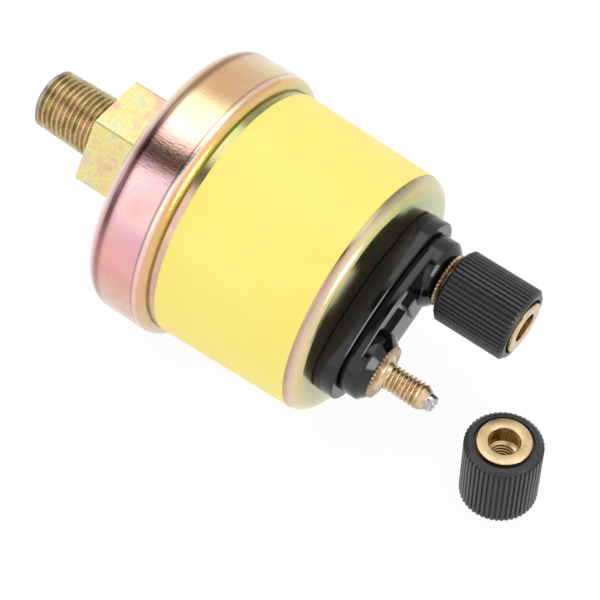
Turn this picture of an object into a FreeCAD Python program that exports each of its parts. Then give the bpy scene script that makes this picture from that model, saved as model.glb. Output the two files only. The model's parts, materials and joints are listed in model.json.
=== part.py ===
import FreeCAD, Part
import math
import os
import re
import Sketcher

# Oil pressure sender with a tapered pipe thread, a crimped base cup, a drawn can,
# a moulded terminal base with two studs, and a rocker and wiper mechanism inside.
# Each piece is drawn in the sender's own frame: X runs along its axis from the threaded
# stem to the terminals, x = 0 is the front face of the hexagon, and Y is the line
# through both studs. The last section lays everything down as it comes to rest.

SIZES = {
    # threaded stem and hexagon
    "hexAcross": 17.0,
    "hexLength": 11.7,
    "hexPhase": -20.5,
    "stemLength": 12.6,
    "stemRadius": 5.14,
    "stemTaper": 0.03125,
    "stemTipChamfer": 0.6,
    "neckRadius": 7.0,
    "rivetRadius": 9.5,
    "rivetThickness": 0.6,
    "boreRadius": 2.0,
    "boreDepth": 16.0,
    "orificeRadius": 0.6,
    # base cup with its rolled lip
    "cupRadius": 22.0,
    "cupWall": 0.8,
    "cupShoulder": 2.4,
    "cupRim": 20.6,
    "lipEnd": 22.3,
    "lipDrop": 1.05,
    "lipReach": 1.5,
    "lipRoll": 1.9,
    "stackClearance": 0.1,
    # stack that the lip clamps
    "sealThickness": 1.0,
    "sealWidth": 4.1,
    "diaphragmThickness": 0.3,
    "discClearance": 0.1,
    "waveHeight": 0.5,
    "waveStart": 7.2,
    "waveMargin": 0.8,
    "waves": 3,
    "carrierThickness": 1.5,
    "flangeThickness": 0.8,
    # can
    "canTop": 47.75,
    "canWall": 0.7,
    "lipGap": 0.14,
    "canTaper": 0.88,
    "canEdge": 1.9,
    "canOpeningRadius": 5.2,
    # label
    "labelStart": 23.5,
    "labelLength": 22.3,
    "labelThickness": 0.1,
    "labelTurn": 344.0,
    # terminal base
    "studSpacing": 16.4,
    "baseEndRadius": 7.1,
    "baseHalfWidth": 8.4,
    "gasketThickness": 0.3,
    "gasketInset": 0.25,
    "tierHeight": 3.0,
    "grooveWidth": 0.35,
    "grooveDepth": 0.6,
    "bodyInset": 1.7,
    "bodyHeight": 1.3,
    "bodyChamfer": 0.3,
    "bossHeight": 3.6,
    "bossChamfer": 1.25,
    "barrierLength": 7.4,
    "barrierWidth": 4.8,
    "barrierHeight": 0.85,
    "barrierNotch": 0.6,
    "barrierNotchAside": 0.8,
    "spigotClearance": 0.15,
    "insulatorThickness": 1.4,
    "insulatorRadius": 6.4,
    # studs and what is on them
    "studRadius": 2.0,
    "studHole": 2.1,
    "studShoulder": 0.3,
    "studFlangeRadius": 4.2,
    "studFlange": 0.35,
    "studTeeth": 38,
    "toothDepth": 0.25,
    "studOut": 7.9,
    "studTipLength": 0.8,
    "studTipRadius": 1.4,
    "studBore": 0.75,
    "leadPinRadius": 0.6,
    "solderRadius": 1.3,
    "solderEndRadius": 1.15,
    "solderHeight": 1.1,
    "studNutAcross": 7.0,
    "studNutHeight": 2.2,
    "studNutMargin": 0.4,
    "stripThickness": 0.3,
    "stripEyeRadius": 3.4,
    "stripWidth": 2.2,
    "stripFold": 0.25,
    "stripLap": 0.6,
    # thumb nuts
    "nutRadius": 5.75,
    "nutLength": 11.9,
    "nutChamfer": 0.55,
    "nutRibs": 48,
    "ribDepth": 0.32,
    "nutGap": 0.35,
    "insertRadius": 4.0,
    "insertProud": 0.4,
    "insertStep": 3.0,
    "insertMouth": 2.3,
    "runningClearance": 0.05,
    "insertClearance": 0.02,
    "nutRecess": 0.5,
    "nutRecessRadius": 4.45,
    # mechanism
    "pivotAlong": 27.5,
    "pivotAside": -2.6,
    "pivotRadius": 1.0,
    "frameThickness": 1.0,
    "sideThickness": 0.8,
    "sideInner": 5.2,
    "frameLow": -9.0,
    "frameHigh": 7.0,
    "shortSideTop": 31.0,
    "frameHeadroom": 2.05,
    "tallSideLow": -9.2,
    "tallSideHigh": 4.2,
    "shortSideLow": -6.5,
    "shortSideHigh": 2.0,
    "pinFootRadius": 6.0,
    "pinFoot": 1.0,
    "pinGap": 0.1,
    "pinRadius": 1.5,
    "pinShank": 22.0,
    "pinTipRadius": 0.6,
    "hubRadius": 1.6,
    "hubHalfWidth": 1.5,
    "padDrop": 0.6,
    "padThickness": 1.2,
    "padReach": 3.8,
    "armAngle": 13.5,
    "armGap": 0.85,
    "armWidth": 1.6,
    "armHalfThickness": 0.6,
    "wiperLength": 4.95,
    "wiperWidth": 1.0,
    "wiperGap": 0.1,
    "wiperTipLength": 0.6,
    "wiperReach": 3.2,
    "windingDepth": 2.3,
    "formerMargin": 1.15,
    "formerCover": 0.4,
    "formerInner": 1.4,
    "formerOuter": 4.4,
    "formerSpan": 46.0,
    "windingSpan": 33.0,
    "windingTurns": 23,
    "turnShare": 0.6,
    "springRadius": 2.6,
    "springWire": 0.3,
    "springTurns": 4.0,
    "springEndGap": 0.15,
    "rivetShank": 0.9,
    "rivetHead": 1.6,
    "rivetHeadHeight": 0.6,
    "rivetLow": -6.0,
    "rivetHigh": 4.8,
    "shaftEnd": 0.5,
    # how it lies, and where the second thumb nut stands
    "layRoll": 22.4,
    "looseAlong": 74.1,
    "looseAside": -5.8,
}

doc = FreeCAD.newDocument("OilPressureSender")
sheet = doc.addObject("Spreadsheet::Sheet", "sizes")
for row, (alias, number) in enumerate(SIZES.items(), start=1):
    sheet.set("A%d" % row, alias)
    sheet.set("B%d" % row, repr(number))
    sheet.setAlias("B%d" % row, alias)
doc.recompute()

nodes = {}


# a formula in plain size names becomes an expression that reads the sheet
def formula(text):
    return re.sub(r"[A-Za-z]\w*", lambda word: ("sizes." if word.group() in SIZES else "") + word.group(), str(text))


def value(text):
    result = sheet.evalExpression(formula(text))
    return float(getattr(result, "Value", result))


def bind(item, **formulas):
    for prop, text in formulas.items():
        item.setExpression(prop.replace("__", "."), formula(text))
    return item


# lengths along the axis that several pieces share
CUP_FACE = "hexLength"
CUP_FLOOR = "(hexLength + cupWall)"
SEAL_TOP = "(hexLength + cupWall + sealThickness)"
DIAPHRAGM_TOP = "(hexLength + cupWall + sealThickness + diaphragmThickness)"
STACK_TOP = "(lipEnd - cupWall)"
FLANGE_FOOT = "(lipEnd - cupWall - flangeThickness)"
CARRIER_FOOT = "(lipEnd - cupWall - flangeThickness - carrierThickness)"
STACK_RADIUS = "(cupRadius - cupWall - stackClearance)"
LIP_OUTER = "(cupRadius - lipDrop)"
LIP_INNER = "(cupRadius - lipReach)"
CAN_FOOT_RADIUS = "(cupRadius - lipReach - lipGap)"
CAN_SLOPE = "(canTaper / (canTop - lipEnd + cupWall))"
SEAL_INNER = "(cupRadius - cupWall - stackClearance - sealWidth)"
WAVE_PITCH = "((cupRadius - cupWall - stackClearance - sealWidth - waveMargin - waveStart) / waves)"
BASE_FOOT = "(canTop + gasketThickness)"
TIER_TOP = "(canTop + gasketThickness + tierHeight)"
GROOVE_TOP = "(canTop + gasketThickness + tierHeight + grooveWidth)"
BODY_TOP = "(canTop + gasketThickness + tierHeight + grooveWidth + bodyHeight)"
INSULATOR_TOP = "(canTop - canWall)"
INSULATOR_FOOT = "(canTop - canWall - insulatorThickness)"
STUD_NUT_TOP = "(canTop - canWall - insulatorThickness - stripThickness)"
STUD_NUT_FOOT = "(canTop - canWall - insulatorThickness - stripThickness - studNutHeight)"
FLANGE_SEAT = "(canTop + gasketThickness + tierHeight + grooveWidth + bossHeight)"
INSERT_FOOT = "(canTop + gasketThickness + tierHeight + grooveWidth + bossHeight + studFlange + nutGap)"
TALL_SIDE_TOP = "(canTop - canWall - insulatorThickness - frameHeadroom)"
FORMER_TOP = "(canTop - canWall - insulatorThickness - frameHeadroom - formerMargin)"
WINDING_INNER = ("(canTop - canWall - insulatorThickness - frameHeadroom - formerMargin"
                 " + formerCover - windingDepth - pivotAlong)")
FRAME_TOP = "(lipEnd - cupWall - flangeThickness + frameThickness)"
PIN_FOOT = "(hexLength + cupWall + sealThickness + diaphragmThickness + pinGap)"


def can_radius(along):
    return "(%s - ((%s) - lipEnd + cupWall) * %s)" % (CAN_FOOT_RADIUS, along, CAN_SLOPE)


# sketches and turned, padded and plain pieces
def add_sketch(body, name, role):
    sketch = body.newObject("Sketcher::SketchObject", name)
    plane = [item for item in body.Origin.OriginFeatures if item.Role == role][0]
    sketch.AttachmentSupport = [(plane, "")]
    sketch.MapMode = "FlatFace"
    return sketch


def arc_centre(start, end, radius, side):
    half = (end - start) * 0.5
    reach = math.sqrt(max(radius ** 2 - half.Length ** 2, 0.0))
    left = FreeCAD.Vector(-half.y, half.x, 0).normalize()
    return start + half + left * (reach * side)


# A closed outline. Each corner is (u, v), or (u, v, radius, side) where an arc leads on
# to the next corner: side is 1 with the arc's centre on the left of that way, else -1.
def draw_outline(sketch, corners):
    places = [FreeCAD.Vector(value(c[0]), value(c[1]), 0) for c in corners]
    ends = []
    for index, corner in enumerate(corners):
        start, end = places[index], places[(index + 1) % len(places)]
        if len(corner) == 2:
            ends.append((sketch.addGeometry(Part.LineSegment(start, end)), 1, 2))
            continue
        radius, side = value(corner[2]), corner[3]
        centre = arc_centre(start, end, radius, side)
        first, last = (start, end) if side > 0 else (end, start)
        angles = [math.atan2(p.y - centre.y, p.x - centre.x) for p in (first, last)]
        circle = Part.Circle(centre, FreeCAD.Vector(0, 0, 1), radius)
        arc = sketch.addGeometry(Part.ArcOfCircle(circle, angles[0], angles[1]))
        ends.append((arc, 1, 2) if side > 0 else (arc, 2, 1))
    for index, (edge, first, last) in enumerate(ends):
        following = ends[(index + 1) % len(ends)]
        sketch.addConstraint(Sketcher.Constraint("Coincident", edge, last, following[0], following[1]))
    for index, corner in enumerate(corners):
        edge, first, last = ends[index]
        for kind, text, number in (("DistanceX", corner[0], places[index].x), ("DistanceY", corner[1], places[index].y)):
            held = sketch.addConstraint(Sketcher.Constraint(kind, edge, first, number))
            sketch.setExpression("Constraints[%d]" % held, formula(text))
        if len(corner) > 2:
            held = sketch.addConstraint(Sketcher.Constraint("Radius", edge, value(corner[2])))
            sketch.setExpression("Constraints[%d]" % held, formula(corner[2]))


def draw_circle(sketch, across, up, radius):
    centre = FreeCAD.Vector(value(across), value(up), 0)
    ring = sketch.addGeometry(Part.Circle(centre, FreeCAD.Vector(0, 0, 1), value(radius)))
    for kind, text, number in (("DistanceX", across, centre.x), ("DistanceY", up, centre.y)):
        held = sketch.addConstraint(Sketcher.Constraint(kind, ring, 3, number))
        sketch.setExpression("Constraints[%d]" % held, formula(text))
    held = sketch.addConstraint(Sketcher.Constraint("Radius", ring, value(radius)))
    sketch.setExpression("Constraints[%d]" % held, formula(radius))


def new_body(label):
    body = doc.addObject("PartDesign::Body", label)
    body.Label = label
    nodes[label] = body
    return body


def turn(body, name, corners, kind="PartDesign::Revolution", angle=None):
    sketch = add_sketch(body, name + "Profile", "XZ_Plane")
    draw_outline(sketch, corners)
    feature = body.newObject(kind, name)
    feature.Profile = sketch
    feature.ReferenceAxis = (sketch, ["H_Axis"])
    feature.Angle = 360.0
    if angle:
        bind(feature, Angle=angle)
    doc.recompute()
    return feature


def bore(body, name, corners):
    return turn(body, name, corners, "PartDesign::Groove")


# A prism along the axis from one place to another, drawn by a function on the YZ plane.
def extrude(body, name, start, end, draw, kind="PartDesign::Pad"):
    sketch = add_sketch(body, name + "Profile", "YZ_Plane")
    draw(sketch)
    foot = start if kind == "PartDesign::Pad" else end
    bind(sketch, AttachmentOffset__Base__z=foot)
    feature = body.newObject(kind, name)
    feature.Profile = sketch
    bind(feature, Length="(%s) - (%s)" % (end, start))
    doc.recompute()
    return feature


def oblong(half_length, end_radius, half_width):
    centre = "((%s) - (%s))" % (half_length, end_radius)
    side = "((%s ^ 2 + (%s) ^ 2 - (%s) ^ 2) / (2 * ((%s) - (%s))))" % (
        centre, half_width, end_radius, half_width, end_radius)
    share = "(%s / (%s - (%s)))" % (side, side, end_radius)
    touch_y = "(%s * %s)" % (centre, share)
    touch_z = "((%s - (%s)) * %s - %s + (%s))" % (side, half_width, share, side, half_width)
    return [
        (touch_y, "-" + touch_z, end_radius, 1),
        (touch_y, touch_z, side, 1),
        ("-" + touch_y, touch_z, end_radius, 1),
        ("-" + touch_y, "-" + touch_z, side, 1),
    ]


def plain(kind, name, **formulas):
    return bind(doc.addObject(kind, name), **formulas)


def block(name, x, y, z):
    return plain(
        "Part::Box", name, Placement__Base__x=x[0], Placement__Base__y=y[0], Placement__Base__z=z[0],
        Length="(%s) - (%s)" % (x[1], x[0]), Width="(%s) - (%s)" % (y[1], y[0]), Height="(%s) - (%s)" % (z[1], z[0]))


# a round bar along X, or along Z where axis says so
def rod(name, start, end, across, up, radius, axis="X"):
    bar = plain("Part::Cylinder", name, Radius=radius, Height="(%s) - (%s)" % (end, start))
    if axis == "X":
        bar.Placement.Rotation = FreeCAD.Rotation(FreeCAD.Vector(0, 1, 0), 90)
        return bind(bar, Placement__Base__x=start, Placement__Base__y=across, Placement__Base__z=up)
    return bind(bar, Placement__Base__x=across, Placement__Base__y=up, Placement__Base__z=start)


def join(name, pieces):
    whole = doc.addObject("Part::MultiFuse", name)
    whole.Shapes = pieces
    whole.Refine = True
    return whole


def cut(name, whole, away):
    piece = doc.addObject("Part::Cut", name)
    piece.Base = whole
    piece.Tool = away
    return piece


def keep(label, item):
    item.Label = label
    nodes[label] = item
    return item


# threaded stem, hexagon and rivet neck, turned from one bar
def hexagon(sketch, across, phase):
    corner = "(%s) / 2 / cos(30 deg)" % across
    turns = ["(%s + %d)" % (phase, 60 * step) for step in range(6)]
    draw_outline(sketch, [("%s * cos(%s * 1 deg)" % (corner, t), "%s * sin(%s * 1 deg)" % (corner, t)) for t in turns])


def build_stem():
    body = new_body("pressure_stem")
    extrude(body, "Hexagon", "0", "hexLength", lambda s: hexagon(s, "hexAcross", "hexPhase"))
    tip = "(stemRadius - stemLength * stemTaper)"
    turn(body, "Thread", [
        ("-stemLength", "0"), ("1", "0"), ("1", "stemRadius"), ("0", "stemRadius"),
        ("stemTipChamfer - stemLength", tip + " + stemTipChamfer * stemTaper"),
        ("-stemLength", tip + " - stemTipChamfer")])
    turn(body, "Neck", [
        ("hexLength - 1", "0"), (CUP_FLOOR + " + rivetThickness", "0"),
        (CUP_FLOOR + " + rivetThickness", "rivetRadius - rivetThickness"), (CUP_FLOOR, "rivetRadius"),
        (CUP_FLOOR, "neckRadius"), ("hexLength - 1", "neckRadius")])
    bore(body, "Bore", [
        ("-stemLength - 1", "0"), ("30", "0"), ("30", "orificeRadius"),
        ("boreDepth - stemLength", "orificeRadius"), ("boreDepth - stemLength", "boreRadius"),
        ("-stemLength - 1", "boreRadius")])


# pressed base cup, its rim rolled over the can's flange
def build_base_cup():
    body = new_body("base_cup")
    inner = "(cupRadius - cupWall)"
    inner_shoulder = "(cupShoulder - cupWall)"
    turn(body, "Cup", [
        (CUP_FACE, "neckRadius"),
        (CUP_FACE, "cupRadius - cupShoulder", "cupShoulder", -1),
        ("hexLength + cupShoulder", "cupRadius"),
        ("cupRim", "cupRadius", "lipRoll", -1),
        ("lipEnd", LIP_OUTER),
        ("lipEnd", LIP_INNER),
        (STACK_TOP, LIP_INNER),
        (STACK_TOP, inner),
        ("hexLength + cupShoulder", inner, inner_shoulder, 1),
        (CUP_FLOOR, "cupRadius - cupShoulder"),
        (CUP_FLOOR, "neckRadius")])


# flat rings of the clamped stack
def ring(label, start, end, inner, outer):
    body = new_body(label)
    turn(body, "Ring", [(start, inner), (start, outer), (end, outer), (end, inner)])
    return body


def build_stack():
    clear = "(cupRadius - cupShoulder)"
    ring("cup_seal", CUP_FLOOR, SEAL_TOP, SEAL_INNER, clear)
    ring("stop_ring", DIAPHRAGM_TOP, CARRIER_FOOT, SEAL_INNER, STACK_RADIUS)
    ring("carrier_plate", CARRIER_FOOT, FLANGE_FOOT, "pinRadius + runningClearance", STACK_RADIUS)


# thin corrugated steel disc, clamped at its rim
def build_diaphragm():
    body = new_body("diaphragm")
    low = [("0", 0)]
    for step in range(2 * int(SIZES["waves"]) + 1):
        radius = "waveStart + %g * %s / 2" % (step, WAVE_PITCH)
        low.append((radius, 1 if step % 2 else 0))
    low.append((STACK_RADIUS + " - discClearance", 0))
    near = [("%s + %d * waveHeight" % (SEAL_TOP, rise), radius) for radius, rise in low]
    far = [("%s + diaphragmThickness + %d * waveHeight" % (SEAL_TOP, rise), radius) for radius, rise in reversed(low)]
    turn(body, "Disc", near + far)


# drawn can: flange, slightly tapered wall, rounded edge, opening for the terminals
def build_can():
    body = new_body("case_can")
    inner_foot = CAN_FOOT_RADIUS + " - canWall"
    edge_radius = can_radius("canTop - canEdge")
    turn(body, "Shell", [
        (FLANGE_FOOT, inner_foot),
        (FLANGE_FOOT, STACK_RADIUS),
        (STACK_TOP, STACK_RADIUS),
        (STACK_TOP, CAN_FOOT_RADIUS),
        ("canTop - canEdge", edge_radius, "canEdge", -1),
        ("canTop", edge_radius + " - canEdge"),
        ("canTop", "0"),
        ("canTop - canWall", "0"),
        ("canTop - canWall", edge_radius + " - canEdge", "canEdge - canWall", 1),
        ("canTop - canEdge", edge_radius + " - canWall")])
    half = "(studSpacing / 2 + canOpeningRadius)"
    extrude(body, "Opening", "canTop - 3", "canTop + 1", lambda s: draw_outline(s, oblong(
        half, "canOpeningRadius", "canOpeningRadius + baseHalfWidth - baseEndRadius")), "PartDesign::Pocket")


# film wrapped round the can, the narrow gap between its two ends facing the floor
def build_label():
    body = new_body("label_band")
    end = "(labelStart + labelLength)"
    turn(body, "Film", [
        ("labelStart", can_radius("labelStart")),
        ("labelStart", can_radius("labelStart") + " + labelThickness"),
        (end, can_radius(end) + " + labelThickness"),
        (end, can_radius(end))], angle="labelTurn")
    body.Placement.Rotation = FreeCAD.Rotation(FreeCAD.Vector(1, 0, 0), value("-layRoll - labelTurn / 2"))


# moulded terminal base: oblong foot, groove, low body, two bosses and a barrier between
def build_terminal_base():
    body = new_body("terminal_base")
    half = "(studSpacing / 2 + baseEndRadius)"

    def plan(inset):
        return lambda s: draw_outline(s, oblong(
            half + " - " + inset, "baseEndRadius - " + inset, "baseHalfWidth - " + inset))

    extrude(body, "Foot", BASE_FOOT, TIER_TOP, plan("0"))
    extrude(body, "Groove", TIER_TOP, GROOVE_TOP, plan("(bodyInset + grooveDepth)"))
    extrude(body, "Low", GROOVE_TOP, BODY_TOP, plan("bodyInset"))
    top_edges = [
        "Edge%d" % (number + 1) for number, edge in enumerate(body.Shape.Edges)
        if abs(edge.BoundBox.XMin - value(BODY_TOP)) < 1e-4 and abs(edge.BoundBox.XMax - value(BODY_TOP)) < 1e-4]
    chamfer = body.newObject("PartDesign::Chamfer", "LowChamfer")
    chamfer.Base = (body.Tip if body.Tip != chamfer else body.getObject("Low"), top_edges)
    bind(chamfer, Size="bodyChamfer")
    doc.recompute()
    for side, name in (("-", "Signal"), ("", "Earth")):
        place = "%sstudSpacing / 2" % side
        extrude(body, name + "Boss", GROOVE_TOP, FLANGE_SEAT,
                lambda s, at=place: draw_circle(s, at, "0", "baseEndRadius - bodyInset"))
    rims = [
        "Edge%d" % (number + 1) for number, edge in enumerate(body.Shape.Edges)
        if edge.BoundBox.XMin > value(FLANGE_SEAT) - 1e-4]
    chamfer = body.newObject("PartDesign::Chamfer", "BossChamfer")
    chamfer.Base = (body.getObject("EarthBoss"), rims)
    bind(chamfer, Size="bossChamfer")
    doc.recompute()

    def rectangle(low_y, high_y, low_z, high_z):
        return lambda s: draw_outline(s, [(low_y, low_z), (high_y, low_z), (high_y, high_z), (low_y, high_z)])

    extrude(body, "Barrier", GROOVE_TOP, BODY_TOP + " + barrierHeight", rectangle(
        "-barrierLength / 2", "barrierLength / 2", "-barrierWidth / 2", "barrierWidth / 2"))
    extrude(body, "BarrierNotch", BODY_TOP, BODY_TOP + " + barrierHeight + 1", rectangle(
        "barrierNotchAside - barrierNotch / 2", "barrierNotchAside + barrierNotch / 2",
        "-barrierWidth", "barrierWidth"), "PartDesign::Pocket")
    opening = "(studSpacing / 2 + canOpeningRadius - spigotClearance)"
    extrude(body, "Spigot", INSULATOR_TOP, BASE_FOOT, lambda s: draw_outline(s, oblong(
        opening, "canOpeningRadius - spigotClearance",
        "canOpeningRadius - spigotClearance + baseHalfWidth - baseEndRadius")))
    for side, name in (("-", "Signal"), ("", "Earth")):
        place = "%sstudSpacing / 2" % side
        extrude(body, name + "Hole", "canTop - 5", FLANGE_SEAT + " + 1",
                lambda s, at=place: draw_circle(s, at, "0", "studHole + studShoulder"), "PartDesign::Pocket")


# thin seal between the base and the can, and the plate that backs the base inside
def build_base_seals():
    gasket = new_body("base_gasket")
    half = "(studSpacing / 2 + baseEndRadius - gasketInset)"
    extrude(gasket, "Sheet", "canTop", BASE_FOOT, lambda s: draw_outline(s, oblong(
        half, "baseEndRadius - gasketInset", "baseHalfWidth - gasketInset")))
    opening = "(studSpacing / 2 + canOpeningRadius)"
    extrude(gasket, "Window", "canTop - 1", BASE_FOOT + " + 1", lambda s: draw_outline(s, oblong(
        opening, "canOpeningRadius", "canOpeningRadius + baseHalfWidth - baseEndRadius")), "PartDesign::Pocket")
    plate = new_body("inner_insulator")
    half = "(studSpacing / 2 + insulatorRadius)"
    extrude(plate, "Plate", INSULATOR_FOOT, INSULATOR_TOP, lambda s: draw_outline(s, oblong(
        half, "insulatorRadius", "insulatorRadius + baseHalfWidth - baseEndRadius")))
    for side, name in (("-", "Signal"), ("", "Earth")):
        place = "%sstudSpacing / 2" % side
        extrude(plate, name + "Hole", INSULATOR_FOOT + " - 1", INSULATOR_TOP + " + 1",
                lambda s, at=place: draw_circle(s, at, "0", "studHole"), "PartDesign::Pocket")


# hollow brass stud, plain and thicker in the base, with a toothed flange, and the tinned wire
# soldered over its tip
def build_stud(name, side):
    place = "%sstudSpacing / 2" % side
    end = "(%s + studOut)" % FLANGE_SEAT
    foot = "(%s - studNutMargin)" % STUD_NUT_FOOT
    shank = rod(name + "Shank", foot, end + " - studTipLength", place, "0", "studRadius")
    shoulder = rod(name + "Shoulder", INSULATOR_TOP, FLANGE_SEAT, place, "0", "studRadius + studShoulder")
    tip = plain("Part::Cone", name + "Tip", Radius1="studRadius", Radius2="studTipRadius", Height="studTipLength")
    tip.Placement.Rotation = FreeCAD.Rotation(FreeCAD.Vector(0, 1, 0), 90)
    bind(tip, Placement__Base__x=end + " - studTipLength", Placement__Base__y=place, Placement__Base__z="0")
    count = int(SIZES["studTeeth"])
    outer, inner = value("studFlangeRadius"), value("studFlangeRadius - toothDepth")
    rim = []
    for step in range(2 * count):
        radius = outer if step % 2 else inner
        angle = math.pi * step / count
        rim.append(FreeCAD.Vector(0, radius * math.cos(angle), radius * math.sin(angle)))
    flange = doc.addObject("Part::Feature", name + "Flange")
    flange.Shape = Part.Face(Part.makePolygon(rim + rim[:1])).extrude(FreeCAD.Vector(value("studFlange"), 0, 0))
    bind(flange, Placement__Base__x=FLANGE_SEAT, Placement__Base__y=place, Placement__Base__z="0")
    solid = join(name + "Solid", [shank, shoulder, tip, flange])
    hollow = rod(name + "Hollow", foot + " - 1", end + " + 1", place, "0", "studBore")
    keep(name + "_stud", cut(name + "Stud", solid, hollow))
    pin = rod(name + "Wire", foot, end + " + solderHeight / 2", place, "0", "leadPinRadius")
    solder = plain("Part::Cone", name + "Solder", Radius1="solderRadius", Radius2="solderEndRadius",
                   Height="solderHeight")
    solder.Placement.Rotation = FreeCAD.Rotation(FreeCAD.Vector(0, 1, 0), 90)
    bind(solder, Placement__Base__x=end, Placement__Base__y=place, Placement__Base__z="0")
    keep(name + "_lead_pin", join(name + "LeadPin", [pin, solder]))
    # hexagon nut that clamps the stud from inside the can
    nut = new_body(name + "_stud_nut")
    extrude(nut, "Hexagon", STUD_NUT_FOOT, STUD_NUT_TOP, lambda s: hexagon_at(s, "studNutAcross", place))
    extrude(nut, "Thread", STUD_NUT_FOOT + " - 1", STUD_NUT_TOP + " + 1",
            lambda s: draw_circle(s, place, "0", "studRadius"), "PartDesign::Pocket")


def hexagon_at(sketch, across, place):
    corner = "(%s) / 2 / cos(30 deg)" % across
    turns = [60 * step for step in range(6)]
    draw_outline(sketch, [
        ("%s + %s * cos(%d deg)" % (place, corner, t), "%s * sin(%d deg)" % (corner, t)) for t in turns])


# brass strips from the stud eyes to the resistor's end and to the frame's short side
def build_lead_strips():
    x = (STUD_NUT_TOP, INSULATOR_FOOT)
    half = "stripWidth / 2"
    low, high = "(-studSpacing / 2)", "(studSpacing / 2)"
    fold = "(studNutAcross / 2 + stripFold)"
    signal = [
        rod("signalEye", x[0], x[1], low, "0", "stripEyeRadius"),
        block("signalLink", x, (low + " - " + half, low + " + " + half), ("0", fold)),
        block("signalLeg", (FORMER_TOP + " - stripLap", INSULATOR_FOOT), (low + " - " + half, low + " + " + half),
              (fold, fold + " + stripThickness"))]
    hole = rod("signalEyeHole", x[0] + " - 1", x[1] + " + 1", low, "0", "studHole")
    keep("signal_lead_strip", cut("signalStrip", join("signalStripBlank", signal), hole))
    side = "(-sideInner - sideThickness)"
    near = "(shortSideHigh - stripWidth)"
    layer = (side + " - stripThickness", side)
    earth = [
        rod("earthEye", x[0], x[1], high, "0", "stripEyeRadius"),
        block("earthLink", x, (high + " - " + half, high + " + " + half), (layer[0], "0")),
        block("earthCross", (x[0] + " - stripWidth", x[1]), (near, high + " + " + half), layer),
        block("earthLeg", ("shortSideTop - stripWidth", x[1]), (near, "shortSideHigh"), layer)]
    hole = rod("earthEyeHole", x[0] + " - 1", x[1] + " + 1", high, "0", "studHole")
    keep("earth_lead_strip", cut("earthStrip", join("earthStripBlank", earth), hole))


# knurled thumb nut: ribbed plastic grip on a threaded brass bush
def build_thumb_nut(name, foot, place):
    grip_foot = "(%s + insertProud)" % foot
    grip_top = "(%s + insertProud + nutLength)" % foot
    top = "(%s + 2 * insertProud + nutLength)" % foot
    count = int(SIZES["nutRibs"])
    crest, root = value("nutRadius"), value("nutRadius - ribDepth")
    rim = []
    for step in range(count):
        for share, radius in ((-0.26, crest), (0.26, crest), (0.5, root)):
            angle = 2 * math.pi * (step + share) / count
            rim.append(FreeCAD.Vector(0, radius * math.cos(angle), radius * math.sin(angle)))
    ribs = doc.addObject("Part::Feature", name + "Ribs")
    ribs.Shape = Part.Face(Part.makePolygon(rim + rim[:1])).extrude(FreeCAD.Vector(value("nutLength"), 0, 0))
    bind(ribs, Placement__Base__x=grip_foot, Placement__Base__y=place, Placement__Base__z="0")
    blank = [rod(name + "Barrel", grip_foot + " + nutChamfer", grip_top + " - nutChamfer", place, "0", "nutRadius")]
    for end, start, low, high in (
            ("Inner", grip_foot, "nutRadius - nutChamfer", "nutRadius"),
            ("Outer", grip_top + " - nutChamfer", "nutRadius", "nutRadius - nutChamfer")):
        cone = plain("Part::Cone", name + end + "Bevel", Radius1=low, Radius2=high, Height="nutChamfer")
        cone.Placement.Rotation = FreeCAD.Rotation(FreeCAD.Vector(0, 1, 0), 90)
        blank.append(bind(cone, Placement__Base__x=start, Placement__Base__y=place, Placement__Base__z="0"))
    turned = doc.addObject("Part::Common", name + "Turned")
    turned.Base = join(name + "Blank", blank)
    turned.Tool = ribs
    hollow = join(name + "Hollow", [
        rod(name + "Bore", foot + " - 1", top + " + 1", place, "0", "insertRadius + insertClearance"),
        rod(name + "InnerRecess", foot, grip_foot + " + nutRecess", place, "0", "nutRecessRadius"),
        rod(name + "OuterRecess", grip_top + " - nutRecess", top, place, "0", "nutRecessRadius")])
    keep(name + "_grip", cut(name + "Grip", turned, hollow))
    bush = rod(name + "Bush", foot, top, place, "0", "insertRadius")
    bore_pieces = [
        rod(name + "Thread", foot + " - 1", top + " + 1", place, "0", "studRadius + runningClearance"),
        rod(name + "Mouth", top + " - insertStep", top + " + 1", place, "0", "insertMouth")]
    keep(name + "_insert", cut(name + "Insert", bush, join(name + "BushBore", bore_pieces)))


# part of a ring about the pivot, its middle at an angle from the sender's axis
def sector(name, inner, outer, low, high, span, middle="0"):
    pieces = []
    for part_name, radius in (("Outer", outer), ("Inner", inner)):
        wedge = plain("Part::Cylinder", name + part_name, Radius=radius, Height="(%s) - (%s)" % (high, low))
        wedge.Placement.Rotation = FreeCAD.Rotation(FreeCAD.Vector(0, 0, 1), value(middle) - value(span) / 2)
        bind(wedge, Angle=span if part_name == "Outer" else "360",
             Placement__Base__x="pivotAlong", Placement__Base__y="pivotAside", Placement__Base__z=low)
        pieces.append(wedge)
    return cut(name, pieces[0], pieces[1])


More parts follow.
